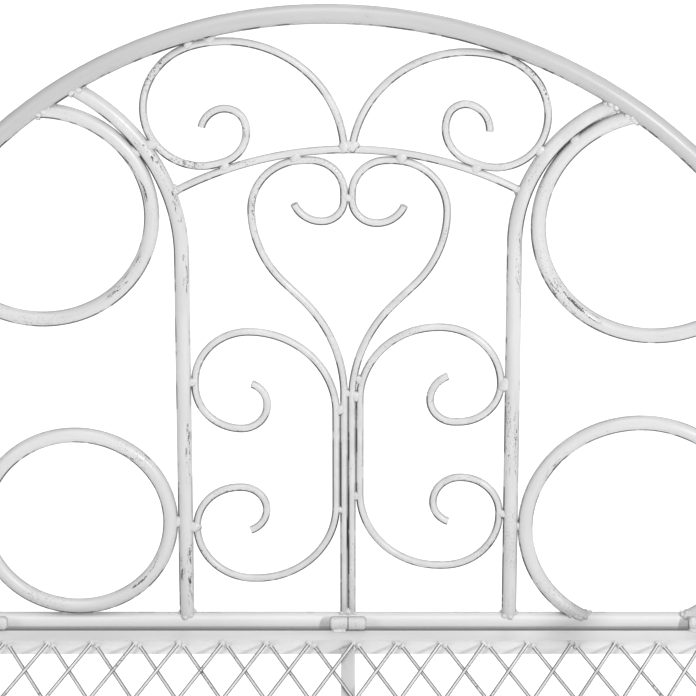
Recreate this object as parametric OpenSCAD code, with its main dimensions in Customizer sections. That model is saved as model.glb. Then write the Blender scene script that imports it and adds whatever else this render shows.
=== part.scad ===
// Two-seat garden bench in wrought-iron style: an arched back of bent tube and scrolled rod,
// reclined and hinged so that it folds down on the seat, a framed wire-lattice seat and two
// bolted side frames that are legs and arms in one.
// Millimetres. Origin on the floor under the middle of the bench, +Z up, the sitter faces -Y.

/* [Seat] */
// Width of the seat frame
seat_w = 900; // [860:10:1300]
// Depth of the seat frame
seat_d = 430; // [340:10:560]
// Height of the seat frame's top
seat_h = 430; // [340:10:520]
// Side of the square tube of the seat frame
seat_sq = 14; // [12:1:20]
// Diameter of the lattice wires
wire_d = 3; // [2:0.5:4]
// Width of a lattice diamond
cell_w = 36.4; // [28:0.1:60]
// Depth of a lattice diamond
cell_d = 82.4; // [50:0.1:110]
// How far the lattice lies to the left of the middle
lattice_shift = 11.8; // [-20:0.1:20]
// Side of the square support bar under the lattice
support_sq = 11.5; // [8:0.5:14]

/* [Back] */
// Width of the back over its outer tubes
back_w = 826; // [700:2:826]
// Rise of the arched rail's middle above the back's bottom rail
back_h = 534; // [500:2:640]
// How far the arch's crown lies to the left of the middle
crown_shift = 18; // [0:1:30]
// Lean of the upright back, in degrees
recline = 10; // [5:1:16]
// Diameter of the arched rail, the bottom rail and the side frames
rail_d = 16; // [14:0.5:20]
// Diameter of the inner tubes, rings and loops
tube_d = 12.5; // [10:0.5:14]
// Diameter of the solid scroll rods
rod_d = 6.5; // [5:0.5:8]
// Wall of every tube
wall = 1.2; // [0.8:0.1:2]
// Distance between the centres of the two upright tubes
panel_w = 270; // [250:2:324]
// Radius of the flare at the top of the left upright tube
flare_left_r = 164; // [150:1:180]
// Radius of the flare at the top of the right upright tube
flare_right_r = 128; // [120:1:145]
// Height at which the left flare starts
flare_left_z = 328; // [310:1:340]
// Height at which the right flare starts
flare_right_z = 340; // [325:1:350]
// Radius of the left shoulder loop
loop_left_r = 90; // [76:1:100]
// Radius of the right shoulder loop
loop_right_r = 96; // [80:1:100]
// Radius of the ring in the lower left corner
ring_left_r = 78; // [50:1:90]
// Radius of the open ring in the lower right corner
ring_right_r = 94; // [70:1:96]
// How far the right ring's circle dips below the bottom rail's axis
ring_right_sink = 7; // [4:0.5:12]
// Radius of the cross rod over the heart
cross_r = 290; // [260:2:360]
// Height of the cross rod's crown
cross_z = 420; // [400:2:430]

/* [Sides] */
// Height of the armrest's top above the seat
arm_h = 222; // [160:2:280]
// Radius of the armrest's front bend
arm_r = 82; // [60:2:120]
// How far the rear feet stand behind the uprights
rear_splay = 60; // [20:2:90]
// Height of the stretchers above the floor
stretcher_z = 120; // [80:2:200]

/* [Hidden] */
$fn = 48;
fit = 0.3;
skin = 0.05;

// Places in the side view, from the front face of the seat's rear rail and the seat's top
// Barrel hinges
barrel_d = 12;
knuckle_l = 15;
pin_d = 6;
washer_t = 0.8;
hinge_x = [-300, 0, 300];
leaf_lean = 40;
corner_gap = barrel_d / 2 + fit + skin;
axis_y = seat_sq + corner_gap * cos(leaf_lean);
axis_z = corner_gap * sin(leaf_lean);
// The bottom rail hangs behind and a little under the hinge axis
rail_reach = rail_d / 2 + barrel_d / 2 + fit + 0.1;
rail_drop = 28.7;
rail_y = axis_y + rail_reach * cos(rail_drop);
rail_z = axis_z - rail_reach * sin(rail_drop);

// Side frames
side_x = seat_w / 2 - seat_sq / 2;
cap_wall = 2;
cap_h = 24;
cap_base = 6;
cap_d = rail_d + 2 * cap_wall;
// Flat lugs that stop the upright back at this height, measured up its slope
stop_t = 5;
stop_z = 150;
stop_h = 24;
stop_w = rail_d / 2 + fit + stop_t / 2;
upright_y = rail_y + (stop_z + stop_h / 2) * sin(recline) + stop_w * cos(recline);
front_y = -seat_d + seat_sq - rail_d / 2 - skin;
// The rear legs sweep back in one long bend below the seat
sweep_z = -60;
foot_z = cap_base - seat_h;
sweep_h = sweep_z - foot_z;
sweep_r = (sweep_h * sweep_h + rear_splay * rear_splay) / (2 * rear_splay);
sweep_a = asin(sweep_h / sweep_r);
rear_y = upright_y + rear_splay;
reach_arch = rail_y + back_h * sin(recline) + rail_d / 2;
reach_foot = rear_y + cap_base * tan(sweep_a) + cap_d / 2 / cos(sweep_a);
reach_rear = max(reach_arch, reach_foot);
reach_front = front_y - cap_d / 2;
seat_y = -(reach_rear + reach_front) / 2;

// Tube and rod runs
// A run is [radius, sweep] for a bend, to the left if the radius is positive, or [0, length]
module section(d, t) {
    difference() {
        circle(d = d, $fn = 48);
        if (t > 0) circle(d = d - 2 * t, $fn = 48);
    }
}

// Part of a ring about the origin; a wide one is drawn with more steps
module arc(r, a, d, t = 0) {
    rotate_extrude(angle = a, $fn = r > 150 ? 240 : 72) translate([r, 0]) section(d, t);
}

module straight(d, t, l) {
    rotate([-90, 0, 0]) linear_extrude(l) section(d, t);
}

module bend(d, t, r, a) {
    if (r > 0) translate([-r, 0, 0]) arc(r, a, d, t);
    if (r < 0) mirror([1, 0, 0]) translate([r, 0, 0]) arc(-r, a, d, t);
}

module run(d, t, steps, i = 0) {
    if (i < len(steps)) {
        r = steps[i][0];
        a = steps[i][1];
        if (r == 0) {
            straight(d, t, a);
            translate([0, a, 0]) run(d, t, steps, i + 1);
        } else {
            bend(d, t, r, a);
            translate([-r, 0, 0]) rotate([0, 0, r > 0 ? a : -a]) translate([r, 0, 0])
                run(d, t, steps, i + 1);
        }
    }
}

// Quarter turn to the left that goes h aside and v along, with a straight before or after the bend
function quarter(h, v) =
    v - h > skin ? [[0, v - h], [h, 90]] : h - v > skin ? [[v, 90], [0, h - v]] : [[h, 90]];

// Crossing of two circles, given their centres and radii, on the right of the way from p to q
function crossing(p, rp, q, rq) =
    let (
        d = norm(q - p),
        a = (rp * rp - rq * rq + d * d) / (2 * d),
        h = sqrt(rp * rp - a * a),
        e = (q - p) / d
    )
    [p[0] + a * e[0] + h * e[1], p[1] + a * e[1] - h * e[0]];

// Frames of reference
module on_seat() {
    translate([0, seat_y, seat_h]) children();
}

// x across, y up the slope and z to the front, from the axis of the bottom rail
module on_back() {
    translate([0, seat_y + rail_y, seat_h + rail_z]) rotate([90 - recline, 0, 0]) children();
}

// x to the rear, y up and z to the right, in a side frame's plane at seat level
module on_side(s) {
    translate([s * side_x, seat_y, seat_h]) rotate([90, 0, 90]) children();
}

module on_half(s) {
    if (s < 0) children();
    if (s > 0) mirror([1, 0, 0]) children();
}

// Seat
module mitred_tube(l) {
    translate([0, 0, -seat_sq]) difference() {
        linear_extrude(seat_sq) polygon([
            [-l / 2, 0], [l / 2, 0], [l / 2 - seat_sq, seat_sq], [-l / 2 + seat_sq, seat_sq]
        ]);
        translate([0, 0, wall]) linear_extrude(seat_sq - 2 * wall) polygon([
            [-l / 2 - seat_sq, wall], [l / 2 + seat_sq, wall],
            [l / 2 + seat_sq, seat_sq - wall], [-l / 2 - seat_sq, seat_sq - wall]
        ]);
    }
}

module seat_rear_rail() {
    color("whitesmoke") on_seat() translate([0, seat_sq, 0]) mirror([0, 1, 0]) mitred_tube(seat_w);
}

module seat_front_rail() {
    color("whitesmoke") on_seat() translate([0, seat_sq - seat_d, 0]) mitred_tube(seat_w);
}

// Two bolts through each side, at these shares of the seat's depth
bolt_d = 6;
bolt_share = [0.16, 0.84];
module at_bolts(s, z) {
    for (k = bolt_share) translate([s * side_x, -seat_d * k, z]) children();
}

module seat_side_rail(s) {
    color("whitesmoke") on_seat() difference() {
        translate([s * seat_w / 2, seat_sq - seat_d / 2, 0]) rotate([0, 0, s * 90]) mitred_tube(seat_d);
        at_bolts(s, -seat_sq - 1) cylinder(h = seat_sq + 2, d = bolt_d + 2 * fit);
    }
}

module seat_left_rail() {
    seat_side_rail(-1);
}

module seat_right_rail() {
    seat_side_rail(1);
}

wire_top = -1.5;
module seat_support_bar() {
    color("whitesmoke") on_seat()
        translate([-support_sq / 2, 2 * seat_sq - seat_d, wire_top - 2 * wire_d - support_sq])
            difference() {
                cube([support_sq, seat_d - 2 * seat_sq, support_sq]);
                translate([wall, -1, wall]) cube([support_sq - 2 * wall, seat_d, support_sq - 2 * wall]);
            }
}

// Wires of one slant, cut to the inside of the frame
module wires(slant, z) {
    inner_w = seat_w - 2 * seat_sq;
    inner_d = seat_d - 2 * seat_sq;
    lean = atan2(cell_w, cell_d);
    count = ceil((inner_w / 2 + abs(lattice_shift) + inner_d * tan(lean) / 2) / cell_w);
    on_seat() intersection() {
        translate([-inner_w / 2, 2 * seat_sq - seat_d, -seat_sq]) cube([inner_w, inner_d, seat_sq]);
        for (k = [-count : count]) translate([k * cell_w - lattice_shift, seat_sq - seat_d / 2, z])
            rotate([0, 0, -slant * lean]) rotate([90, 0, 0])
                cylinder(h = inner_d / cos(lean) + 4 * wire_d, d = wire_d, center = true);
    }
}

module seat_wires_upper() {
    color("white") wires(1, wire_top - wire_d / 2);
}

module seat_wires_lower() {
    color("gainsboro") wires(-1, wire_top - wire_d * 1.5);
}

// Barrel hinges
// Half barrel with a domed end and a blind hole for the pin, along +X
module knuckle(hole) {
    dome = 3;
    rotate([0, 90, 0]) rotate_extrude() difference() {
        union() {
            square([barrel_d / 2, knuckle_l - dome]);
            square([barrel_d / 2 - dome, knuckle_l]);
            translate([barrel_d / 2 - dome, knuckle_l - dome]) intersection() {
                circle(r = dome);
                square(dome);
            }
        }
        translate([0, -1]) square([hole / 2, knuckle_l - 2]);
    }
}

module at_hinges() {
    for (x = hinge_x) translate([x, axis_y, axis_z]) children();
}

weld_l = 10;
weld_t = 4;
module hinge_seat_knuckles() {
    color("silver") on_seat() difference() {
        at_hinges() {
            difference() {
                translate([-weld_l - 2, 0, 0]) rotate([180 + leaf_lean, 0, 0])
                    translate([0, 0, -weld_t / 2]) cube([weld_l, corner_gap + 2, weld_t]);
                rotate([0, -90, 0]) cylinder(h = 3 * knuckle_l, d = barrel_d - 2, center = true);
            }
            mirror([1, 0, 0]) translate([washer_t / 2, 0, 0]) knuckle(pin_d);
        }
        translate([-seat_w, -1, -seat_sq]) cube([2 * seat_w, seat_sq + 1, seat_sq]);
    }
}

module hinge_pins() {
    color("dimgray") on_seat() at_hinges() rotate([0, 90, 0])
        cylinder(h = 2 * knuckle_l - 8, d = pin_d, center = true);
}

module hinge_washers() {
    color("goldenrod") on_seat() at_hinges() rotate([0, 90, 0]) difference() {
        cylinder(h = washer_t - 2 * skin, d = barrel_d - 1, center = true);
        cylinder(h = 2 * washer_t, d = pin_d + 0.2, center = true);
    }
}

module hinge_back_knuckles() {
    color("silver") difference() {
        on_seat() at_hinges() {
            difference() {
                translate([2, 0, 0]) rotate([-rail_drop, 0, 0]) translate([0, 0, -weld_t / 2])
                    cube([weld_l, rail_reach, weld_t]);
                rotate([0, 90, 0]) cylinder(h = 3 * knuckle_l, d = barrel_d - 2, center = true);
            }
            translate([washer_t / 2, 0, 0]) knuckle(pin_d + 0.1);
        }
        on_back() rotate([0, 90, 0]) cylinder(h = 2 * back_w, d = rail_d, center = true);
    }
}

// Back
post_x = back_w / 2 - rail_d / 2;
panel_x = panel_w / 2;
plug_l = 10;
plug_head = 1.5;

module back_bottom_rail() {
    color("whitesmoke") on_back() translate([-back_w / 2, 0, 0]) rotate([0, 90, 0])
        linear_extrude(back_w) section(rail_d, wall);
}

module back_rail_plugs() {
    color("silver") on_back() for (s = [-1, 1]) translate([s * back_w / 2, 0, 0])
        rotate([0, s * 90, 0]) union() {
            translate([0, 0, -plug_l]) cylinder(h = plug_l, d = rail_d - 2 * wall - 2 * skin);
            cylinder(h = plug_head, d = rail_d - 1);
        }
}

// Left and right quarters of the arch meet level at the crown
arch_l = post_x - crown_shift;
arch_r = post_x + crown_shift;
arch_centre_l = [-crown_shift, back_h - arch_l];
arch_centre_r = [-crown_shift, back_h - arch_r];

module arch_tube(t) {
    translate([-post_x, 0, 0]) run(rail_d, t, [
        [0, back_h - arch_l], [-arch_l, 90], [-arch_r, 90], [0, back_h - arch_r]
    ]);
}

module bottom_cut() {
    rotate([0, 90, 0]) cylinder(h = 2 * back_w, d = rail_d, center = true);
}

module back_arch() {
    color("whitesmoke") on_back() difference() {
        arch_tube(wall);
        bottom_cut();
    }
}

// Upright tube with its flare, drawn for the left side
flare_a = 75;
function of_side(s, l, r) = s < 0 ? l : r;
function flare_r(s) = of_side(s, flare_left_r, flare_right_r);
function flare_z(s) = of_side(s, flare_left_z, flare_right_z);
function flare_centre(s) = [-panel_x - flare_r(s), flare_z(s)];
function arch_of(s) =
    s < 0 ? [-crown_shift, arch_centre_l[1], arch_l] : [crown_shift, arch_centre_r[1], arch_r];

module upright_run(s, t) {
    translate([-panel_x, 0, 0]) run(tube_d, t, [[0, flare_z(s)], [flare_r(s), flare_a]]);
}

// Material within the arch's centre line, less the arch itself
module under_arch(s) {
    a = arch_of(s);
    difference() {
        intersection() {
            children();
            translate([a[0], a[1], -rail_d]) cylinder(h = 2 * rail_d, r = a[2], $fn = 240);
        }
        translate([a[0], a[1], 0]) arc(a[2], 360, rail_d);
    }
}

module upright_tube(s) {
    a = arch_of(s);
    color("whitesmoke") on_back() on_half(s) difference() {
        upright_run(s, wall);
        bottom_cut();
        translate([a[0], a[1], -rail_d]) difference() {
            translate([-2 * back_w, 0, 0]) cube([2 * back_w, 2 * back_h, 2 * rail_d]);
            translate([0, 0, -1]) cylinder(h = 2 * rail_d + 2, r = a[2], $fn = 240);
        }
        translate([a[0], a[1], 0]) arc(a[2], 360, rail_d);
    }
}

module upright_tube_left() {
    upright_tube(-1);
}

module upright_tube_right() {
    upright_tube(1);
}

// Loop that lies within the flare, touches it at this angle and ends on the arch
loop_touch = [35, 48];
module shoulder_loop(s) {
    r = of_side(s, loop_left_r, loop_right_r);
    touch = of_side(s, loop_touch[0], loop_touch[1]);
    centre = flare_centre(s) + (flare_r(s) - r - tube_d - skin) * [cos(touch), sin(touch)];
    color("whitesmoke") on_back() on_half(s) under_arch(s) translate([centre[0], centre[1], 0])
        arc(r, 360, tube_d, wall);
}

module shoulder_loop_left() {
    shoulder_loop(-1);
}

module shoulder_loop_right() {
    shoulder_loop(1);
}

// The left ring stands on the bottom rail; the right one is open and both its ends stand on the rail
module corner_ring(s) {
    r = of_side(s, ring_left_r, ring_right_r);
    z = of_side(s, rail_d / 2 + tube_d / 2, -ring_right_sink) + r;
    open = of_side(s, 0, acos(z / r));
    color("whitesmoke") on_back() difference() {
        translate([s * (panel_x + tube_d + r), z, 0]) rotate([0, 0, open - 90])
            arc(r, 360 - 2 * open, tube_d, wall);
        if (s > 0) bottom_cut();
    }
}

module corner_ring_left() {
    corner_ring(-1);
}

module corner_ring_right() {
    corner_ring(1);
}

// Cross rod between the upright tubes
cross_centre = [0, cross_z - cross_r];
function cross_end(s) =
    let (low = [-panel_x, cross_centre[1] + sqrt(cross_r * cross_r - panel_x * panel_x)])
    low[1] < flare_z(s) ? low : crossing(cross_centre, cross_r, flare_centre(s), flare_r(s));
cross_half = [asin(-cross_end(-1)[0] / cross_r), asin(-cross_end(1)[0] / cross_r)];

module cross_rod() {
    color("white") on_back() difference() {
        translate([0, cross_centre[1], 0]) rotate([0, 0, 90 - cross_half[1]])
            arc(cross_r, cross_half[0] + cross_half[1], rod_d);
        for (s = [-1, 1]) on_half(s) upright_run(s, 0);
    }
}

// Top scroll: stands on the cross rod, bows up to the arch, turns down to the flare and back to the
// cross rod and curls in. It touches the arch at this angle from the crown
top_touch = [16.5, 20.7];
// First turn of the curl with the straight before it, then the last two turns
top_curl = [[27, 4, 17, 20], [30, 8, 15, 22]];
top_end = [60, 72];

// The two turns between the touch at p, where the rod runs along e and n points outward, and the curl:
// the first one for the flare, the second one, between lo and hi, for the cross rod
function top_turns(s, p, e, n, curl, lo, hi, i = 24) =
    let (
        last = (lo + hi) / 2,
        w = p - flare_centre(s),
        apart = flare_r(s) + (tube_d + rod_d) / 2,
        m = w * (n + e) + last,
        first = (m - sqrt(m * m - 2 * (w * w - apart * apart - 2 * last * (apart - w * e)))) / 2,
        centre = p + (curl[0] - first - last) * n + (curl[1] + last - first) * e,
        gap = norm(centre - cross_centre) - cross_r - rod_d - curl[0]
    )
    i == 0 ? [first, last]
        : gap > 0 ? top_turns(s, p, e, n, curl, last, hi, i - 1)
        : top_turns(s, p, e, n, curl, lo, last, i - 1);

module top_scroll(s) {
    k = of_side(s, 0, 1);
    a = arch_of(s);
    touch = top_touch[k];
    curl = top_curl[k];
    e = [cos(touch), sin(touch)];
    n = [-e[1], e[0]];
    p = [a[0], a[1]] + (a[2] - rail_d / 2 - rod_d / 2) * n;
    w = p - [-rod_d / 2, cross_z];
    bow_r = (w * w) / (2 * (w * n));
    bow_centre = p - bow_r * n;
    bow_a = 90 + touch - atan2(cross_z - bow_centre[1], -rod_d / 2 - bow_centre[0]);
    turns = top_turns(s, p, e, n, curl, 20, 90);
    color("white") on_back() difference() {
        on_half(s) translate([p[0], p[1], 0]) rotate([0, 0, touch]) {
            rotate([0, 0, 90]) run(rod_d, 0, [
                [turns[0], 90], [turns[1], 90], [0, curl[1]],
                [curl[0], 90], [curl[2], 90], [curl[3], top_end[k]]
            ]);
            mirror([1, 0, 0]) rotate([0, 0, 90]) run(rod_d, 0, [[bow_r, bow_a]]);
        }
        translate([0, cross_centre[1], 0]) rotate([0, 0, 80]) arc(cross_r, 20, rod_d);
    }
}

module top_scroll_left() {
    top_scroll(-1);
}

module top_scroll_right() {
    top_scroll(1);
}

// Half heart: straight stem, two easy bends, the lobe under the cross rod and the inner curl
lobe_r = [42, 44];
lobe_in = [[33, 27], [33, 28]];
lobe_curl = [[18, 25.5, 24], [20, 26, 24]];
lobe_end = 68;
stem_bend = 120;
flank_bend = 90;
flank_a = 45;
module heart_half(s) {
    k = of_side(s, 0, 1);
    u = lobe_in[k][0] + rod_d / 2;
    lobe_z = cross_centre[1] + sqrt(pow(cross_r - rod_d - lobe_r[k], 2) - u * u);
    side = u + lobe_r[k] - rod_d / 2;
    flank = (side - (stem_bend + flank_bend) * (1 - cos(flank_a))) / sin(flank_a);
    stem = lobe_z - (stem_bend + flank_bend) * sin(flank_a) - flank * cos(flank_a);
    color("white") on_back() difference() {
        on_half(s) translate([-rod_d / 2 - stem_bend, stem, 0]) rotate([0, 0, flank_a])
            translate([stem_bend, flank / 2, 0]) {
                mirror([0, 1, 0]) run(rod_d, 0, [[0, flank / 2], [stem_bend, flank_a], [0, stem]]);
                mirror([1, 0, 0]) run(rod_d, 0, concat(
                    [[0, flank / 2], [flank_bend, flank_a], [lobe_r[k], 90]],
                    quarter(lobe_in[k][1], lobe_in[k][0]),
                    quarter(lobe_curl[k][0], lobe_curl[k][1]),
                    [[lobe_curl[k][2], lobe_end]]
                ));
            }
        bottom_cut();
    }
}

module heart_half_left() {
    heart_half(-1);
}

module heart_half_right() {
    heart_half(1);
}

// C scroll: stands beside the stem and leans on the upright tube with both bows
c_side = 1.5 * rod_d;
c_span = panel_x - tube_d / 2 - rod_d / 2 - c_side;
c_middle = 160;
c_top = [262, 266];
c_foot = [40, 52];
c_share = [[0.62, 0.57], [0.55, 0.57]];
c_up = [[82, 47, 38, 39, 21, 22, 19], [88, 50, 36, 34, 22, 20, 22]];
c_down = [[80, 47, 35, 36, 23, 20, 20], [74, 46, 32, 34, 23, 22, 19]];

function bow(share, h) =
    concat(
        quarter(c_span * share, h[0]),
        quarter(h[1], c_span * (1 - share)),
        quarter(h[2], h[3]),
        quarter(h[5], h[4]),
        [[h[6], 70]]
    );

module c_scroll(s) {
    k = of_side(s, 0, 1);
    color("white") on_back() on_half(s) translate([-c_side, c_middle, 0]) {
        run(rod_d, 0, concat([[0, c_top[k] - c_up[k][0] - c_middle]], bow(c_share[k][0], c_up[k])));
        mirror([0, 1, 0]) run(rod_d, 0, concat(
            [[0, c_middle - c_foot[k] - c_down[k][0]]], bow(c_share[k][1], c_down[k])
        ));
    }
}

module c_scroll_left() {
    c_scroll(-1);
}

module c_scroll_right() {
    c_scroll(1);
}

// Side frames
rear_r = 46;
arm_z = arm_h - rail_d / 2;
front_l = arm_z - arm_r - foot_z;
arm_l = upright_y - rear_r - arm_r - front_y;
upright_l = arm_z - rear_r - sweep_z;

module side_run(t) {
    translate([front_y, foot_z, 0]) run(rail_d, t, [
        [0, front_l], [-arm_r, 90], [0, arm_l], [-rear_r, 90], [0, upright_l], [sweep_r, sweep_a]
    ]);
}

module side_tube_left() {
    color("whitesmoke") on_side(-1) side_run(wall);
}

module side_tube_right() {
    color("whitesmoke") on_side(1) side_run(wall);
}

// Solid legs, to cut the cross pieces to fit them
module leg_cuts() {
    for (y = [front_y, upright_y]) translate([y, foot_z, 0]) rotate([-90, 0, 0])
        cylinder(h = front_l, d = rail_d);
}

module rear_leg_cut() {
    translate([upright_y + sweep_r, sweep_z, 0]) rotate([0, 0, 180]) arc(sweep_r, sweep_a, rail_d);
}

module along_side(y0, y1, z, d, t) {
    translate([y0, z, 0]) rotate([0, 90, 0]) linear_extrude(y1 - y0) section(d, t);
}

bearing_z = -seat_sq - tube_d / 2 - skin;
module bearing_rail(s) {
    color("whitesmoke") difference() {
        on_side(s) difference() {
            along_side(front_y, upright_y, bearing_z, tube_d, wall);
            leg_cuts();
        }
        on_seat() at_bolts(s, bearing_z - tube_d) cylinder(h = 2 * tube_d, d = bolt_d + 2 * fit);
    }
}

module bearing_rail_left() {
    bearing_rail(-1);
}

module bearing_rail_right() {
    bearing_rail(1);
}

low_z = stretcher_z - seat_h;
low_rear = upright_y + sweep_r - sqrt(sweep_r * sweep_r - pow(sweep_z - low_z, 2));
low_mid = (front_y + low_rear) / 2;
module side_stretcher(s) {
    color("whitesmoke") on_side(s) difference() {
        along_side(front_y, low_rear, low_z, tube_d, wall);
        translate([front_y, foot_z, 0]) rotate([-90, 0, 0]) cylinder(h = front_l, d = rail_d);
        rear_leg_cut();
        translate([low_mid, low_z, 0]) cylinder(h = 2 * tube_d, d = bolt_d + 2 * fit, center = true);
    }
}

module side_stretcher_left() {
    side_stretcher(-1);
}

module side_stretcher_right() {
    side_stretcher(1);
}

stretcher_end = side_x - tube_d / 2 - skin;
module long_stretcher() {
    color("whitesmoke") on_seat() translate([0, low_mid, low_z]) rotate([0, 90, 0]) difference() {
        cylinder(h = 2 * stretcher_end, d = tube_d, center = true);
        cylinder(h = 3 * stretcher_end, d = tube_d - 2 * wall, center = true);
    }
}

bush_l = 16;
module stretcher_bushes() {
    color("silver") on_seat() for (s = [-1, 1]) translate([s * stretcher_end, low_mid, low_z])
        rotate([0, -s * 90, 0]) difference() {
            cylinder(h = bush_l, d = tube_d - 2 * wall);
            translate([0, 0, -1]) cylinder(h = bush_l + 2, d = bolt_d);
        }
}

// Domed bolt head over a plain shank, pointing down
head_d = 12;
head_h = 4;
head_r = 8;
module bolt(l) {
    rotate_extrude() difference() {
        intersection() {
            union() {
                translate([0, -l]) square([bolt_d / 2, l + 1]);
                square([head_d / 2, head_h]);
            }
            union() {
                translate([0, head_h - head_r]) circle(r = head_r);
                translate([0, -l]) square([bolt_d / 2, l]);
            }
        }
        translate([-head_d, -l]) square([head_d, l + head_d]);
    }
}

module stretcher_bolts() {
    color("silver") on_seat() for (s = [-1, 1])
        translate([s * (side_x + tube_d / 2 + skin), low_mid, low_z]) rotate([0, s * 90, 0])
            bolt(tube_d + bush_l - 3);
}

nut_h = 5;
nut_d = 11.5;
nut_z = bearing_z - tube_d / 2 - skin;
module seat_bolts() {
    color("silver") on_seat() for (s = [-1, 1]) at_bolts(s, skin) bolt(-nut_z + nut_h + 2);
}

module seat_nuts() {
    color("silver") on_seat() for (s = [-1, 1]) at_bolts(s, nut_z - nut_h) difference() {
        cylinder(h = nut_h, d = nut_d, $fn = 6);
        translate([0, 0, -1]) cylinder(h = nut_h + 2, d = bolt_d);
    }
}

// Flat lug behind each outer tube of the back, welded to the upright of the side frame
module back_stop(s) {
    color("gainsboro") difference() {
        on_back() translate([s > 0 ? post_x - rail_d / 2 : -side_x, stop_z, -stop_w - stop_t / 2])
            cube([side_x - post_x + rail_d / 2, stop_h, stop_t]);
        on_seat() translate([s * side_x, upright_y, 0]) cylinder(h = arm_h, d = rail_d);
    }
}

module back_stop_left() {
    back_stop(-1);
}

module back_stop_right() {
    back_stop(1);
}

// Cup over the end of a leg, cut level with the floor; the leg leans forward by lean as it rises
module foot_cap(y, lean) {
    difference() {
        translate([0, y, 0]) rotate([lean, 0, 0]) difference() {
            translate([0, 0, -cap_d * sin(lean)]) cylinder(h = cap_h + cap_d * sin(lean), d = cap_d);
            translate([0, 0, cap_base / cos(lean)]) cylinder(h = cap_h, d = rail_d + fit);
        }
        translate([-cap_d, y - 2 * cap_d, -2 * cap_d]) cube([2 * cap_d, 4 * cap_d, 2 * cap_d]);
    }
}

module front_foot_caps() {
    color("dimgray") for (s = [-1, 1]) translate([s * side_x, 0, 0]) foot_cap(seat_y + front_y, 0);
}

module rear_foot_caps() {
    color("dimgray") for (s = [-1, 1]) translate([s * side_x, 0, 0])
        foot_cap(seat_y + rear_y + cap_base * tan(sweep_a), sweep_a);
}

seat_rear_rail();
seat_front_rail();
seat_left_rail();
seat_right_rail();
seat_support_bar();
seat_wires_upper();
seat_wires_lower();
hinge_seat_knuckles();
hinge_pins();
hinge_washers();
hinge_back_knuckles();
back_bottom_rail();
back_rail_plugs();
back_arch();
upright_tube_left();
upright_tube_right();
shoulder_loop_left();
shoulder_loop_right();
corner_ring_left();
corner_ring_right();
cross_rod();
top_scroll_left();
top_scroll_right();
heart_half_left();
heart_half_right();
c_scroll_left();
c_scroll_right();
side_tube_left();
side_tube_right();
bearing_rail_left();
bearing_rail_right();
side_stretcher_left();
side_stretcher_right();
long_stretcher();
stretcher_bushes();
stretcher_bolts();
seat_bolts();
seat_nuts();
back_stop_left();
back_stop_right();
front_foot_caps();
rear_foot_caps();
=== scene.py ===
"""Looks of the garden bench: aged off-white paint, weld beads, floor, light and camera."""
import math
import random

import bmesh
import bpy
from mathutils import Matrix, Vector, noise
from mathutils.bvhtree import BVHTree


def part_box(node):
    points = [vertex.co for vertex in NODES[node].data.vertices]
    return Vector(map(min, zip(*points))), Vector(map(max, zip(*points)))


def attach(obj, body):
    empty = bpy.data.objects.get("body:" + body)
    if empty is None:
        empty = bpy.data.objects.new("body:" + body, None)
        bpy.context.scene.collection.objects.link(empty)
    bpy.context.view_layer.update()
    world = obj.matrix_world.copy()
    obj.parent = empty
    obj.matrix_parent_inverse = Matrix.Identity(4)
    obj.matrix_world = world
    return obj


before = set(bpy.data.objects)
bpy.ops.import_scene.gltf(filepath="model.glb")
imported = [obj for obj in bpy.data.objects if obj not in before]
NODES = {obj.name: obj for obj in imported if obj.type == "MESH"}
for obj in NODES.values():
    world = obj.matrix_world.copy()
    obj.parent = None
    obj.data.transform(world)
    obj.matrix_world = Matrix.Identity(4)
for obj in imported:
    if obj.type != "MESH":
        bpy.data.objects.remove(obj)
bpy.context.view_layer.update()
SIDES = ("left", "right")
scene = bpy.context.scene

# The middle of the back's bottom rail, the way up the back's slope and the way its front faces
RAIL = (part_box("back_bottom_rail")[0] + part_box("back_bottom_rail")[1]) / 2
RECLINE = math.radians(10)
UP = Vector((0, math.sin(RECLINE), math.cos(RECLINE)))
FRONT = Vector((0, -math.cos(RECLINE), math.sin(RECLINE)))

# Camera: a long lens on the bench's centre line. The focal length is in the photo's pixels, the
# sensor in millimetres, and the eye's place is measured from the bottom rail
PITCH = math.radians(32.15)
IMAGE = 696
FOCAL = 4340
SENSOR = 36
EYE = Vector((0, -2.9645, 2.1342))
# How far the floor and the camera's view reach, in metres
REACH = 60


def add_camera():
    camera = bpy.data.objects.new("camera", bpy.data.cameras.new("camera"))
    scene.collection.objects.link(camera)
    camera.data.sensor_width = SENSOR
    camera.data.lens = FOCAL / IMAGE * SENSOR
    camera.data.clip_end = REACH
    camera.location = RAIL + EYE
    camera.rotation_euler = (math.pi / 2 - PITCH, 0, 0)
    scene.camera = camera


add_camera()


def in_back(u, v):
    """The point u to the right of the rail's middle and v up the slope of the back."""
    return RAIL + Vector((u, 0, 0)) + UP * v


def grey(value):
    return (value, value, value)


def darker(colour, share):
    return tuple(share * part for part in colour)


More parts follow.
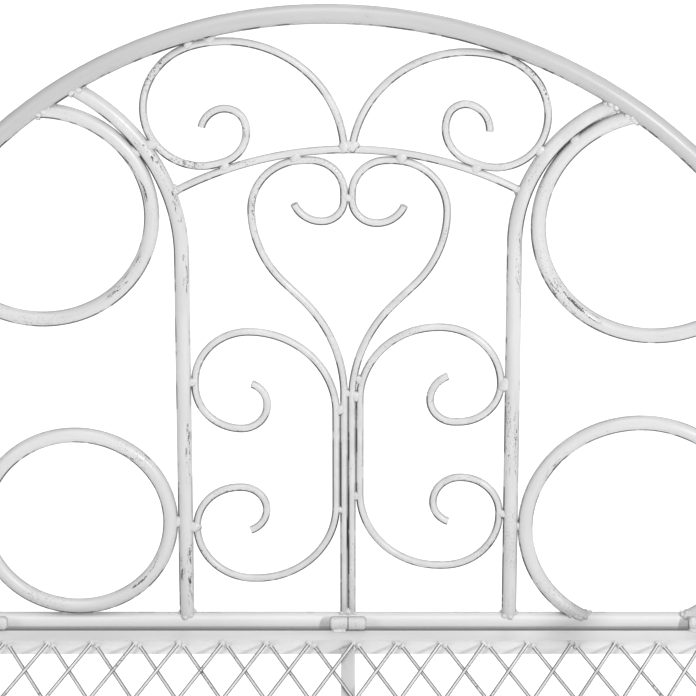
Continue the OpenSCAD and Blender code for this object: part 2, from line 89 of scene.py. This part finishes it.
class Shader:
    """A material's node tree, with short calls for the nodes used here."""

    def __init__(self, name):
        self.material = bpy.data.materials.new(name)
        self.material.use_nodes = True
        self.tree = self.material.node_tree
        self.tree.nodes.clear()
        self.bsdf = self.node("ShaderNodeBsdfPrincipled")
        output = self.node("ShaderNodeOutputMaterial")
        self.link(self.bsdf.outputs[0], output.inputs["Surface"])

    def node(self, kind, **settings):
        found = self.tree.nodes.new(kind)
        for key, value in settings.items():
            setattr(found, key, value)
        return found

    def link(self, a, b):
        self.tree.links.new(a, b)

    def put(self, socket, value):
        if isinstance(value, bpy.types.NodeSocket):
            self.link(value, socket)
        else:
            socket.default_value = value

    def colour(self, value):
        self.put(self.bsdf.inputs["Base Color"], value)

    def roughness(self, value):
        self.put(self.bsdf.inputs["Roughness"], value)

    def math(self, operation, a, b=0.0, clamp=False):
        found = self.node("ShaderNodeMath", operation=operation, use_clamp=clamp)
        self.put(found.inputs[0], a)
        self.put(found.inputs[1], b)
        return found.outputs[0]

    def add(self, a, b):
        return self.math("ADD", a, b)

    def times(self, a, b):
        return self.math("MULTIPLY", a, b)

    def larger(self, a, b):
        return self.math("MAXIMUM", a, b)

    def smooth(self, value, low, high):
        """0 at low, 1 at high and a smooth step between them; high may be the lower one."""
        found = self.node("ShaderNodeMapRange", interpolation_type="SMOOTHSTEP")
        self.put(found.inputs["Value"], value)
        found.inputs["From Min"].default_value = low
        found.inputs["From Max"].default_value = high
        return found.outputs["Result"]

    def mix(self, share, a, b):
        found = self.node("ShaderNodeMix", data_type="RGBA")
        self.put(found.inputs["Factor"], share)
        for socket, value in ((found.inputs[6], a), (found.inputs[7], b)):
            self.put(socket, value if isinstance(value, bpy.types.NodeSocket) else (*value, 1))
        return found.outputs[2]

    def noise(self, vector, scale, detail=2.0, roughness=0.5, distortion=0.0):
        found = self.node("ShaderNodeTexNoise")
        self.put(found.inputs["Vector"], vector)
        found.inputs["Scale"].default_value = scale
        found.inputs["Detail"].default_value = detail
        found.inputs["Roughness"].default_value = roughness
        found.inputs["Distortion"].default_value = distortion
        return found.outputs["Fac"]

    def dot(self, a, b):
        found = self.node("ShaderNodeVectorMath", operation="DOT_PRODUCT")
        self.put(found.inputs[0], a)
        found.inputs[1].default_value = tuple(b)
        return found.outputs["Value"]

    def distance(self, a, b):
        found = self.node("ShaderNodeVectorMath", operation="DISTANCE")
        self.put(found.inputs[0], a)
        found.inputs[1].default_value = b
        return found.outputs["Value"]

    def shifted(self, vector, shift):
        found = self.node("ShaderNodeVectorMath", operation="ADD")
        self.put(found.inputs[0], vector)
        found.inputs[1].default_value = shift
        return found.outputs[0]

    def combine(self, x, y, z):
        found = self.node("ShaderNodeCombineXYZ")
        for socket, value in zip(found.inputs, (x, y, z)):
            self.put(socket, value)
        return found.outputs[0]

    def bump(self, height, strength, distance):
        found = self.node("ShaderNodeBump")
        found.inputs["Strength"].default_value = strength
        found.inputs["Distance"].default_value = distance
        self.put(found.inputs["Height"], height)
        self.link(found.outputs[0], self.bsdf.inputs["Normal"])


# Scale of the noise along a tube against its scale across: less draws it out more
DRAW = 0.09


def along(shader, point, grain):
    """The point drawn out so that noise on it runs along the tube: grain is an axis,
    or (u, v, radius) for a bend about that centre in the plane of the back."""
    if grain is None:
        return point
    split = shader.node("ShaderNodeSeparateXYZ")
    shader.link(point, split.inputs[0])
    if isinstance(grain, str):
        scales = [DRAW if axis == grain else 1.0 for axis in "xyz"]
        return shader.combine(*(shader.times(split.outputs[k], scales[k]) for k in range(3)))
    u, v, radius = grain
    centre = in_back(u, v)
    across = shader.math("SUBTRACT", split.outputs[0], centre.x)
    upward = shader.math("SUBTRACT", shader.dot(point, UP), centre.dot(UP))
    square = shader.add(shader.times(across, across), shader.times(upward, upward))
    angle = shader.math("ARCTAN2", upward, across)
    return shader.combine(
        shader.math("SQRT", square), shader.dot(point, FRONT), shader.times(angle, DRAW * radius))


# Greys of the paint, and of the undercoat that shows through the wear, which is also laid as painted
# shade. The rails across the seat, the bottom rail and the wires are the same paint made lighter as
# painted light, and the arch is the same paint made darker as painted shade
PAINT = grey(0.63)
RAIL_PAINT_LIT = grey(0.655)
ROUND_RAIL_PAINT_LIT = grey(0.70)
ARCH_PAINT_SHADED = grey(0.51)
WIRE_PAINT_LIT = grey(0.78)
UNDERCOAT_AND_SHADE = grey(0.03)
# The dark lines along the tubes, painted shade along the outlines and in part scuffed wear, are laid
# out for this direction, which is the one that the photo was taken from. It is fixed in each piece,
# so the lines stay where they are in every other view and turn with the back. They follow the
# outlines only from about the photo's angle
OUTLINE_VIEW = Vector((0.0, -0.848, 0.530))
# Which way the lower side of a run faces in the photo, where the painted shade along the outlines is
# darkest, and the lower side of the bottom rail, where it has a band of painted shade
SHADE_BELOW = (-0.25, -0.50, -0.83)
RAIL_SHADE_BELOW = (0.0, -0.53, -0.848)
# Radii of the outer tubes, the inner tubes, the rods and the wires
RAIL_RADIUS = 0.008
TUBE_RADIUS = 0.00625
ROD_RADIUS = 0.00325
WIRE_RADIUS = 0.0015
# How wide the strips of painted shade along the outlines are, how many times wider the broken lines
# of painted shade and scuffed wear are, and the most of the radius that either takes
LINE_WIDTH = 0.00075
SIDE_LINE = 0.0004
WIRE_LINE = 0.0008
BROKEN_LINE_WIDER = 1.45
WIDEST = 0.85
# How far the slanted wires of the lattice turn their nearest side to OUTLINE_VIEW
WIRE_SLANT = math.radians(23.8)
WIRE_FACED = math.sqrt(1 - (OUTLINE_VIEW.y * math.cos(WIRE_SLANT)) ** 2)
# Scales of the noise in the paint, from the finest to the coarsest
GRIT = 950
STREAK = 420
TONE = 60
BREAK = 34
PATCH = 15


def facing_at(depth):
    """How much a tube faces OUTLINE_VIEW at this depth from its side, as a share of the radius."""
    return math.sqrt(2 * depth - depth * depth)


class Paint(Shader):
    """Brushed paint over a dark undercoat. Each kind of wear, and each kind of painted shade, is a
    call that gives how much of the undercoat's dark colour is laid on, from 0 to 1."""

    def __init__(self, name, grain, wear, seed):
        super().__init__(name)
        coordinates = self.node("ShaderNodeTexCoord")
        self.wear = wear
        self.point = coordinates.outputs["Object"]
        self.normal = coordinates.outputs["Normal"]
        place = self.shifted(self.point, (seed, 0.7 * seed, 0.3 * seed))
        self.grained = along(self, self.point, grain)
        self.streaks = self.noise(self.grained, STREAK, 4.0, 0.72, 0.4)
        self.grit = self.noise(place, GRIT, 2.0, 0.6)
        self.patches = self.noise(place, PATCH, 2.0, 0.6)
        self.breaks = self.noise(place, BREAK, 3.0, 0.65)

    def near(self, spots, edge=False):
        """1 near the given spots in the plane of the back, 0 elsewhere. A spot is (u, v, reach), or
        (u, v, reach, side): side is the angle towards which a row lies off the middle of the
        tube, or with edge the half of the tube that counts."""
        mask = 0.0
        for u, v, reach, *side in spots:
            away = self.distance(self.point, in_back(u, v))
            spot = self.smooth(away, reach, 0.6 * reach)
            if side:
                turn = math.radians(side[0])
                off = self.dot(self.normal, Vector((math.cos(turn), 0, 0)) + UP * math.sin(turn))
                spot = self.times(spot, self.smooth(off, 0.10, 0.25))
                if not edge:
                    spot = self.times(spot, self.smooth(off, 0.85, 0.65))
            mask = self.larger(mask, spot)
        return mask

    def strip(self, facing, share):
        """1 along each side of a run, from its very side to about this share of its radius."""
        share = min(share, WIDEST)
        inner = self.smooth(facing, facing_at(1.1 * share), facing_at(0.75 * share))
        return self.times(self.smooth(facing, -0.10, 0.02), inner)

    def side_lines(self, share, side_shade, faced, lines):
        """The strips along the two sides of a run, as seen from OUTLINE_VIEW: painted shade all along
        the outline, darker on the lower sides, and broken lines that are partly scuffed wear and
        partly painted shade, mostly the lower ones, and more of them where the wear is greater. Near
        the given lines, which lie in creases between runs and along lower edges, the painted shade is
        unbroken."""
        facing = self.dot(self.normal, OUTLINE_VIEW / faced)
        # Painted shade: the lower sides of a run get darker lines
        low = self.smooth(self.dot(self.normal, SHADE_BELOW), -0.25, 0.55)
        some = self.smooth(self.breaks, 0.57 - 0.30 * self.wear, 0.63 - 0.26 * self.wear)
        broken = self.times(some, self.smooth(self.streaks, 0.26, 0.42))
        rubbed_and_shaded = self.times(broken, self.add(0.30, self.times(low, 0.70)))
        if lines:
            # Painted shade, unbroken, in creases between runs and along lower edges
            unbroken = self.times(self.near(lines, edge=True), self.smooth(self.streaks, 0.20, 0.36))
            rubbed_and_shaded = self.larger(rubbed_and_shaded, unbroken)
        every, lower = side_shade
        # Painted shade along the whole outline, darker on the lower sides
        outline_shade = self.add(every, self.times(low, lower))
        return self.larger(self.times(self.strip(facing, BROKEN_LINE_WIDER * share), rubbed_and_shaded),
                         self.times(self.strip(facing, share), outline_shade))

    def underside(self, under_shade):
        """Painted shade: the dark band on the underside of the back's bottom rail, where the seat
        rail just below keeps light off it, darker towards its edge.
        """
        below = self.dot(self.normal, RAIL_SHADE_BELOW)
        band = self.add(self.smooth(below, 0.42, 0.56), self.smooth(below, 0.56, 1.0))
        return self.times(band, 0.5 * under_shade)

    def gritty(self, share, low, high):
        """Short streaks: the brush's streaks with a share of grit, where they pass low to high."""
        return self.smooth(self.add(self.streaks, self.times(self.grit, share)), low, high)

    def clusters(self):
        """Clusters of short streaks here and there, larger where the wear is greater."""
        cluster = self.smooth(self.patches, 0.74 - 0.20 * self.wear, 0.82 - 0.20 * self.wear)
        return self.times(cluster, self.gritty(0.25, 0.66, 0.71))

    def chips(self, spots):
        """Rows of chips at the given spots."""
        return self.times(self.near(spots), self.gritty(0.35, 0.715, 0.765))

    def specks(self):
        """Specks in patches, which are larger where the wear is greater."""
        speckled = self.smooth(self.patches, 0.66 - 0.30 * self.wear, 0.76 - 0.30 * self.wear)
        return self.times(self.times(self.smooth(self.grit, 0.62, 0.68), speckled), 0.8)

    def coat(self, base, wear_and_shade):
        """Colour, gloss and relief of the coat, and of the dark undercoat colour laid on at wear and
        as painted shade.
        """
        tone = self.noise(self.grained, TONE, 3.0, 0.55)
        fresh = self.mix(self.smooth(tone, 0.30, 0.70), base, darker(base, 0.90))
        # The dark undercoat colour stands for wear and for painted shade alike
        self.colour(self.mix(self.times(wear_and_shade, 0.95), fresh, UNDERCOAT_AND_SHADE))
        shine = self.add(self.times(tone, 0.18), 0.28)
        self.roughness(self.add(self.times(wear_and_shade, 0.25), shine))
        self.bsdf.inputs["Specular IOR Level"].default_value = 0.5
        brushed = self.add(self.times(self.streaks, 0.5), self.times(self.grit, 0.3))
        self.bump(self.math("SUBTRACT", brushed, wear_and_shade), 0.30, 0.0004)


def paint(name, grain=None, wear=0.5, base=PAINT, seed=0.0, radius=TUBE_RADIUS, spots=(), lines=(),
          under_shade=0.0, width=LINE_WIDTH, side_shade=(0.10, 0.30), faced=1.0):
    """Off-white brushed paint over a dark undercoat. Along the sides of each run, as seen from
    OUTLINE_VIEW, the undercoat's dark colour is laid as painted shade along the outline, darker on
    the lower sides, and in broken lines that are partly scuffed wear and partly painted shade. The
    coat is also missing in clusters of short streaks and specks, most of all at the given spots. The
    amount for the underside is how dark the painted shade on a rail's underside is. The pair for the
    sides says how dark the painted shade is along every side, and how much darker along the lower
    ones. Faced is how far the run turns its nearest side to OUTLINE_VIEW: less than 1 where it
    slants."""
    look = Paint(name, grain, wear, seed)
    wear_and_shade = 0.0
    if width:
        wear_and_shade = look.side_lines(width / radius, side_shade, faced, lines)
    # Painted shade on the underside of a rail
    if under_shade:
        wear_and_shade = look.larger(wear_and_shade, look.underside(under_shade))
    wear_and_shade = look.larger(wear_and_shade, look.clusters())
    if spots:
        wear_and_shade = look.larger(wear_and_shade, look.chips(spots))
    wear_and_shade = look.math("ADD", wear_and_shade, look.specks(), clamp=True)
    look.coat(base, wear_and_shade)
    return look.material


def metal(name, colour, roughness, spots):
    """Plain metal with fine turning marks and dull spots."""
    shader = Shader(name)
    point = shader.node("ShaderNodeTexCoord").outputs["Object"]
    marks = shader.noise(along(shader, point, "x"), 900, 3.0, 0.6)
    dull = shader.smooth(shader.noise(point, 160, 3.0, 0.6), 0.48, 0.68)
    shader.colour(shader.mix(shader.times(dull, spots), colour, darker(colour, 0.35)))
    shader.roughness(shader.add(shader.times(dull, 0.25), roughness))
    shader.bsdf.inputs["Metallic"].default_value = 1.0
    shader.bump(marks, 0.2, 0.0002)
    return shader.material


def plastic(name, colour):
    """Moulded plastic with a fine grain and scuffs."""
    shader = Shader(name)
    point = shader.node("ShaderNodeTexCoord").outputs["Object"]
    grain = shader.noise(point, 1400, 2.0, 0.5)
    scuff = shader.smooth(shader.noise(point, 120, 4.0, 0.7), 0.55, 0.70)
    shader.colour(shader.mix(shader.times(scuff, 0.5), colour, darker(colour, 0.6)))
    shader.roughness(shader.add(shader.times(scuff, 0.2), 0.5))
    shader.bump(grain, 0.25, 0.0002)
    return shader.material


def cover(material, *nodes):
    for node in nodes:
        mesh = NODES[node].data
        mesh.materials.clear()
        mesh.materials.append(material)


# Spots in the plane of the back where the paint is chipped: across, up the slope, reach, and the
# side of the tube that the row of chips is on, in degrees from the right
CHIPS = {
    "upright_tube_left": (
        (-0.136, 0.156, 0.034, 0), (-0.133, 0.048, 0.036, 0), (-0.133, 0.048, 0.018, 180),
        (-0.158, 0.405, 0.030, 30), (-0.150, 0.370, 0.026, 10), (-0.137, 0.315, 0.024, 0)),
    "upright_tube_right": (
        (0.132, 0.164, 0.034, 0), (0.131, 0.172, 0.040, 180), (0.136, 0.325, 0.034, 0)),
    "shoulder_loop_left": ((-0.173, 0.395, 0.026, 190), (-0.180, 0.310, 0.030, 160)),
    "shoulder_loop_right": ((0.190, 0.285, 0.034, 190), (0.183, 0.283, 0.030, 30)),
    "corner_ring_left": ((-0.191, 0.160, 0.024, 250), (-0.162, 0.038, 0.030, 150)),
    "corner_ring_right": ((0.180, 0.152, 0.032, 315),),
    "left_scrolls": (
        (-0.168, 0.494, 0.030), (-0.087, 0.440, 0.015, 180), (-0.141, 0.422, 0.018, 200),
        (-0.078, 0.372, 0.026, 0), (-0.095, 0.176, 0.026, 270), (-0.093, 0.119, 0.028, 270),
        (-0.119, 0.055, 0.018, 200)),
    "right_scrolls": (
        (0.160, 0.485, 0.030, 0), (0.115, 0.070, 0.018, 0), (0.092, 0.181, 0.028, 270),
        (0.098, 0.118, 0.028, 270)),
}
# Places where the painted shade along a side is an unbroken dark line, given in the same way: in the
# crease between two runs that lie side by side, and along the lower edges of the scrolls
SHADE_LINES = {
    "left_scrolls": (
        (-0.099, 0.176, 0.026, 270), (-0.092, 0.120, 0.026, 270), (-0.022, 0.223, 0.022, 225),
        (-0.079, 0.262, 0.030, 270), (-0.106, 0.050, 0.024, 240), (-0.013, 0.082, 0.026, 0),
        (-0.120, 0.425, 0.022, 270), (-0.045, 0.395, 0.024, 0)),
    "right_scrolls": (
        (0.095, 0.178, 0.026, 270), (0.098, 0.120, 0.026, 270), (0.075, 0.262, 0.026, 270),
        (0.108, 0.052, 0.024, 300), (0.125, 0.425, 0.022, 270), (0.150, 0.490, 0.026, 0)),
    "upright_tube_left": ((-0.163, 0.400, 0.055, 210), (-0.143, 0.340, 0.030, 190)),
    "upright_tube_right": ((0.152, 0.385, 0.050, 330), (0.175, 0.430, 0.040, 320)),
}
# Centres of the bends in the plane of the back, across and up the slope, and their radii
ARCH_BEND = (-0.018, 0.1295, 0.4)
BENDS = {
    "shoulder_loop_left": (-0.2487, 0.3632, 0.09),
    "shoulder_loop_right": (0.250, 0.3545, 0.096),
    "corner_ring_left": (-0.2255, 0.0923, 0.078),
    "corner_ring_right": (0.2415, 0.087, 0.094),
}
# How dark the painted shade is along the outlines: on every side, and how much darker on the lower
# ones
SHADE_ON_SIDE_TUBES = (0.02, 0.15)
SHADE_ON_UPRIGHTS = (0.08, 0.25)
SHADE_ON_RODS = (0.15, 0.50)
SHADE_ON_WIRES = (0.90, 0.10)


def paint_frame():
    """The seat frame, the side frames, and the rails and the arch of the back."""
    # The lighter grey of these rails is painted light
    across = paint("paint_across", "x", wear=0.08, base=RAIL_PAINT_LIT, seed=0.1, radius=RAIL_RADIUS)
    cover(across, "seat_rear_rail", "seat_front_rail", "long_stretcher")
    # The bottom rail's lighter grey is painted light, and the band on its underside is painted shade
    bottom = paint("paint_bottom_rail", "x", wear=0.08, base=ROUND_RAIL_PAINT_LIT, seed=0.4,
                   radius=RAIL_RADIUS, under_shade=1.0)
    cover(bottom, "back_bottom_rail")
    deep = paint("paint_deep", "y", wear=0.15, seed=0.9, width=0)
    cover(deep, "seat_support_bar")
    sides = paint("paint_sides", wear=0.05, seed=2.3, radius=RAIL_RADIUS, width=SIDE_LINE,
                  side_shade=SHADE_ON_SIDE_TUBES)
    for side in SIDES:
        cover(deep, "seat_" + side + "_rail", "bearing_rail_" + side, "side_stretcher_" + side)
        cover(sides, "side_tube_" + side)
    # The arch's darker grey is painted shade
    arch = paint("paint_arch", ARCH_BEND, wear=0.35, base=ARCH_PAINT_SHADED, seed=3.1, radius=RAIL_RADIUS)
    cover(arch, "back_arch")


def paint_back():
    """The uprights, scrolls, loops and rings of the back, each with its own chips."""
    for k, side in enumerate(SIDES):
        upright = "upright_tube_" + side
        tube = paint("paint_" + upright, "z", wear=0.42, seed=1.7 + k, spots=CHIPS[upright],
                     lines=SHADE_LINES[upright], side_shade=SHADE_ON_UPRIGHTS)
        cover(tube, upright)
        rods = paint("paint_scrolls_" + side, seed=9.4 + 2 * k, radius=ROD_RADIUS,
                     spots=CHIPS[side + "_scrolls"], lines=SHADE_LINES[side + "_scrolls"],
                     side_shade=SHADE_ON_RODS)
        cover(rods, "top_scroll_" + side, "heart_half_" + side, "c_scroll_" + side)
    for k, (node, bend) in enumerate(BENDS.items()):
        cover(paint("paint_" + node, bend, seed=4.0 + k, spots=CHIPS[node]), node)
    cross = paint("paint_cross", "x", wear=0.25, seed=8.2, radius=ROD_RADIUS, side_shade=SHADE_ON_RODS)
    cover(cross, "cross_rod")


def paint_wires():
    """The lattice of the seat."""
    # The wires' lighter grey is painted light, and the dark outlines on them are painted shade
    wires = paint("paint_wires", wear=0.8, base=WIRE_PAINT_LIT, seed=13.0, radius=WIRE_RADIUS,
                  width=WIRE_LINE, side_shade=SHADE_ON_WIRES, faced=WIRE_FACED)
    cover(wires, "seat_wires_upper", "seat_wires_lower")


def finish_fittings():
    """Hinges, bolts, plugs and caps."""
    fittings = paint("paint_fittings", wear=0.8, seed=15.0)
    cover(fittings, "hinge_seat_knuckles", "hinge_back_knuckles", "back_stop_left", "back_stop_right")
    cover(metal("pin_metal", (0.56, 0.56, 0.55), roughness=0.3, spots=0.5), "hinge_pins")
    cover(metal("washer_metal", grey(0.20), roughness=0.4, spots=0.5), "hinge_washers")
    cover(metal("bolt_metal", (0.58, 0.58, 0.57), roughness=0.34, spots=0.6),
          "stretcher_bolts", "stretcher_bushes", "seat_bolts", "seat_nuts")
    cover(plastic("cap_moulding", (0.52, 0.52, 0.50)),
          "back_rail_plugs", "front_foot_caps", "rear_foot_caps")


paint_frame()
paint_back()
paint_wires()
finish_fittings()
BEAD_PAINT = paint("paint_beads", wear=0.3, seed=17.0)

# Weld beads: where two pieces of one body meet, a small lumpy bead covers the joint
TREES = {}
# How close two pieces come where they are welded
CONTACT = 0.0012
# How far apart two beads of a pair are at least: along a joint of two runs, round the end of a
# tube, for a wire of the lattice, and for the one long joint of a loop and an upright
ONE = 0.016
RING = 0.004
WIRE_END = 0.006
LONG = 0.08
# Contacts within this share of that distance are taken as one place
GATHER = 0.6
# How many times longer than wide a bead is, and how deep its lumps are
BEAD_LENGTH = 1.35
COARSE_LUMPS = 0.20
FINE_LUMPS = 0.10


def surface(node):
    """The node's mesh as a tree, for finding nearest points on it."""
    if node not in TREES:
        mesh = NODES[node].data
        TREES[node] = BVHTree.FromPolygons([v.co for v in mesh.vertices],
                                           [p.vertices for p in mesh.polygons])
    return TREES[node]


def contacts(a, b, apart):
    """Middles of the places where node a comes close to node b, at least this far apart."""
    found = []
    tree = surface(b)
    low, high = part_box(b)
    for vertex in NODES[a].data.vertices:
        co = vertex.co
        if any(co[k] < low[k] - CONTACT or co[k] > high[k] + CONTACT for k in range(3)):
            continue
        nearest, _, _, gap = tree.find_nearest(co, CONTACT)
        if nearest is not None:
            found.append((gap, (co + nearest) / 2))
    groups = []
    for _, point in sorted(found, key=lambda place: place[0]):
        near = next((group for group in groups if (group[0] - point).length < apart), None)
        if near is None:
            groups.append([point, [point]])
        elif (near[0] - point).length < GATHER * apart:
            near[1].append(point)
    return [sum(members, Vector()) / len(members) for _, members in groups]


def bead(mesh, centre, size, direction, rng):
    """A lump of weld metal drawn out along direction."""
    made = bmesh.ops.create_icosphere(mesh, subdivisions=3, radius=1.0)
    phase = Vector((rng.uniform(-9, 9), rng.uniform(-9, 9), rng.uniform(-9, 9)))
    turn = direction.normalized().to_track_quat("X", "Z")
    for vertex in made["verts"]:
        co = vertex.co.copy()
        coarse = COARSE_LUMPS * noise.noise(co * 1.6 + phase)
        fine = FINE_LUMPS * noise.noise(co * 4.0 + phase)
        co = Vector((co.x * size[0], co.y * size[1], co.z * size[2])) * (1 + coarse + fine)
        vertex.co = centre + turn @ co


def beads(name, body, places, seed):
    """One piece that holds many beads; places are (centre, size, direction)."""
    rng = random.Random(seed)
    mesh = bmesh.new()
    for centre, size, direction in places:
        bead(mesh, centre, size, direction, rng)
    data = bpy.data.meshes.new(name)
    mesh.to_mesh(data)
    mesh.free()
    for polygon in data.polygons:
        polygon.use_smooth = True
    data.materials.append(BEAD_PAINT)
    piece = bpy.data.objects.new(name, data)
    scene.collection.objects.link(piece)
    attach(piece, body)


def joint_beads(name, body, pairs, seed):
    """Beads for pairs (a, b, size, apart): one where two runs touch, or a ring of small ones,
    closer together than the tube is thick, where a tube ends on another piece."""
    rng = random.Random(seed)
    places = []
    for a, b, size, apart in pairs:
        for centre in contacts(a, b, apart):
            grown = size * rng.uniform(0.85, 1.2)
            direction = Vector((rng.uniform(-1, 1), 0.0, rng.uniform(-1, 1)))
            places.append((centre, (BEAD_LENGTH * grown, grown, grown), direction))
    beads(name, body, places, seed)


def back_pairs():
    pairs = []
    for side in SIDES:
        upright = "upright_tube_" + side
        loop = "shoulder_loop_" + side
        ring = "corner_ring_" + side
        top = "top_scroll_" + side
        heart = "heart_half_" + side
        bow = "c_scroll_" + side
        pairs += [
            (upright, "back_bottom_rail", 0.0020, RING),
            (upright, "back_arch", 0.0022, RING),
            (loop, "back_arch", 0.0018, RING),
            (loop, upright, 0.0050, LONG),
            (ring, upright, 0.0042, ONE),
            (ring, "back_bottom_rail", 0.0017, RING),
            (top, "back_arch", 0.0040, ONE),
            (top, upright, 0.0042, ONE),
            (top, "cross_rod", 0.0044, ONE),
            (heart, "cross_rod", 0.0046, ONE),
            (heart, "back_bottom_rail", 0.0020, RING),
            (bow, upright, 0.0048, ONE),
            (bow, heart, 0.0036, ONE),
            ("cross_rod", upright, 0.0020, RING)]
    return pairs + [
        ("heart_half_left", "heart_half_right", 0.0034, ONE),
        ("top_scroll_left", "top_scroll_right", 0.0034, ONE),
        ("back_arch", "back_bottom_rail", 0.0022, RING),
        ("hinge_back_knuckles", "back_bottom_rail", 0.0016, RING)]


def seat_pairs():
    pairs = [("hinge_seat_knuckles", "seat_rear_rail", 0.0016, RING)]
    for layer in ("upper", "lower"):
        for rail in ("rear", "front", "left", "right"):
            pairs.append(("seat_wires_" + layer, "seat_" + rail + "_rail", 0.0023, WIRE_END))
    for side in SIDES:
        tube = "side_tube_" + side
        pairs += [
            ("bearing_rail_" + side, tube, 0.0022, RING),
            ("side_stretcher_" + side, tube, 0.0022, RING),
            ("back_stop_" + side, tube, 0.0018, RING)]
    for rail in ("rear", "front"):
        pairs.append(("seat_support_bar", "seat_" + rail + "_rail", 0.0018, RING))
    return pairs


joint_beads("back_weld_beads", "back", back_pairs(), seed=5)
joint_beads("seat_weld_beads", "seat", seat_pairs(), seed=8)


# Floor, light and colour
FLOOR_GLOW = 0.35
WORLD_LIGHT = 0.32
WHITE = (1, 1, 1, 1)


def add_floor():
    mesh = bmesh.new()
    bmesh.ops.create_grid(mesh, x_segments=24, y_segments=24, size=REACH)
    data = bpy.data.meshes.new("floor")
    mesh.to_mesh(data)
    mesh.free()
    piece = bpy.data.objects.new("floor", data)
    scene.collection.objects.link(piece)
    shader = Shader("floor_paint")
    point = shader.node("ShaderNodeTexCoord").outputs["Object"]
    shader.colour(shader.mix(shader.noise(point, 3.0), grey(0.93), grey(0.90)))
    shader.roughness(0.8)
    shader.bsdf.inputs["Emission Color"].default_value = WHITE
    shader.bsdf.inputs["Emission Strength"].default_value = FLOOR_GLOW
    data.materials.append(shader.material)


# Lamps: name, place, the point it shines at, the side of its square in metres, and watts
LAMPS = (
    ("key", (3.5, -3.4, 3.2), (0, 0.1, 0.45), 0.3, 160),
    ("left_fill", (-3.6, -2.2, 2.6), (0, 0.1, 0.6), 1.6, 45),
    ("back_fill", (0.8, 4.2, 2.4), (0, 0.1, 0.6), 2.0, 22),
    ("overhead", (0, -0.6, 7.0), (0, 0.1, 0.4), 4.0, 200),
)


def add_lamp(name, place, target, size, watts):
    lamp = bpy.data.lights.new(name, "AREA")
    lamp.shape = "SQUARE"
    lamp.size = size
    lamp.energy = watts
    found = bpy.data.objects.new(name, lamp)
    scene.collection.objects.link(found)
    found.location = place
    found.rotation_euler = (Vector(target) - Vector(place)).to_track_quat("-Z", "Y").to_euler()


def add_world():
    world = bpy.data.worlds.new("studio")
    world.use_nodes = True
    background = world.node_tree.nodes["Background"]
    background.inputs["Color"].default_value = WHITE
    background.inputs["Strength"].default_value = WORLD_LIGHT
    scene.world = world


add_floor()
for row in LAMPS:
    add_lamp(*row)
add_world()
scene.view_settings.view_transform = "Standard"
